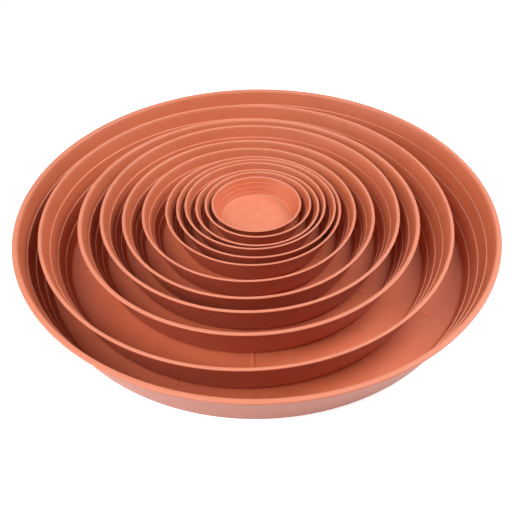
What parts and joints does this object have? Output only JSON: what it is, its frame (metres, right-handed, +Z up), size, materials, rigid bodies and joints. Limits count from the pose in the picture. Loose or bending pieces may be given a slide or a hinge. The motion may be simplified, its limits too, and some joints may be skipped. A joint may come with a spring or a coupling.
{
  "type": "plant saucer",
  "caption": "Nest of round plastic plant saucers with stepped flaring walls and rounded lips, each lifting out of the next.",
  "frame": {"origin": "centre of the largest saucer's underside, on the surface it stands on", "axes": "+Z up along the largest saucer's axis; the picture was taken from the -Y side, with +X to its right"},
  "size_m": [0.6, 0.6, 0.0724],
  "materials": {
    "terracotta_plastic": "semi-matte moulded plastic, terracotta coloured right through"
  },
  "bodies": {
    "saucer_60cm": {"saucer_60cm": "terracotta_plastic"},
    "saucer_52cm": {"saucer_52cm": "terracotta_plastic"},
    "saucer_43cm": {"saucer_43cm": "terracotta_plastic"},
    "saucer_38cm": {"saucer_38cm": "terracotta_plastic"},
    "saucer_32cm": {"saucer_32cm": "terracotta_plastic"},
    "saucer_27cm": {"saucer_27cm": "terracotta_plastic"},
    "saucer_23cm": {"saucer_23cm": "terracotta_plastic"},
    "saucer_21cm": {"saucer_21cm": "terracotta_plastic"},
    "saucer_18cm": {"saucer_18cm": "terracotta_plastic"},
    "saucer_16cm": {"saucer_16cm": "terracotta_plastic"},
    "saucer_14cm": {"saucer_14cm": "terracotta_plastic"},
    "saucer_12cm": {"saucer_12cm": "terracotta_plastic"}
  },
  "joints": [
    {"name": "lift_saucer_52cm", "type": "slide", "parent": "saucer_60cm", "child": "saucer_52cm", "axis": [0, 0, 1], "range_m": [0, 0.078]},
    {"name": "lift_saucer_43cm", "type": "slide", "parent": "saucer_52cm", "child": "saucer_43cm", "axis": [0, 0, 1], "range_m": [0, 0.073]},
    {"name": "lift_saucer_38cm", "type": "slide", "parent": "saucer_43cm", "child": "saucer_38cm", "axis": [0, 0, 1], "range_m": [0, 0.069]},
    {"name": "lift_saucer_32cm", "type": "slide", "parent": "saucer_38cm", "child": "saucer_32cm", "axis": [0, 0, 1], "range_m": [0, 0.064]},
    {"name": "lift_saucer_27cm", "type": "slide", "parent": "saucer_32cm", "child": "saucer_27cm", "axis": [0, 0, 1], "range_m": [0, 0.06]},
    {"name": "lift_saucer_23cm", "type": "slide", "parent": "saucer_27cm", "child": "saucer_23cm", "axis": [0, 0, 1], "range_m": [0, 0.057]},
    {"name": "lift_saucer_21cm", "type": "slide", "parent": "saucer_23cm", "child": "saucer_21cm", "axis": [0, 0, 1], "range_m": [0, 0.053]},
    {"name": "lift_saucer_18cm", "type": "slide", "parent": "saucer_21cm", "child": "saucer_18cm", "axis": [0, 0, 1], "range_m": [0, 0.05]},
    {"name": "lift_saucer_16cm", "type": "slide", "parent": "saucer_18cm", "child": "saucer_16cm", "axis": [0, 0, 1], "range_m": [0, 0.047]},
    {"name": "lift_saucer_14cm", "type": "slide", "parent": "saucer_16cm", "child": "saucer_14cm", "axis": [0, 0, 1], "range_m": [0, 0.044]},
    {"name": "lift_saucer_12cm", "type": "slide", "parent": "saucer_14cm", "child": "saucer_12cm", "axis": [0, 0, 1], "range_m": [0, 0.042]}
  ]
}
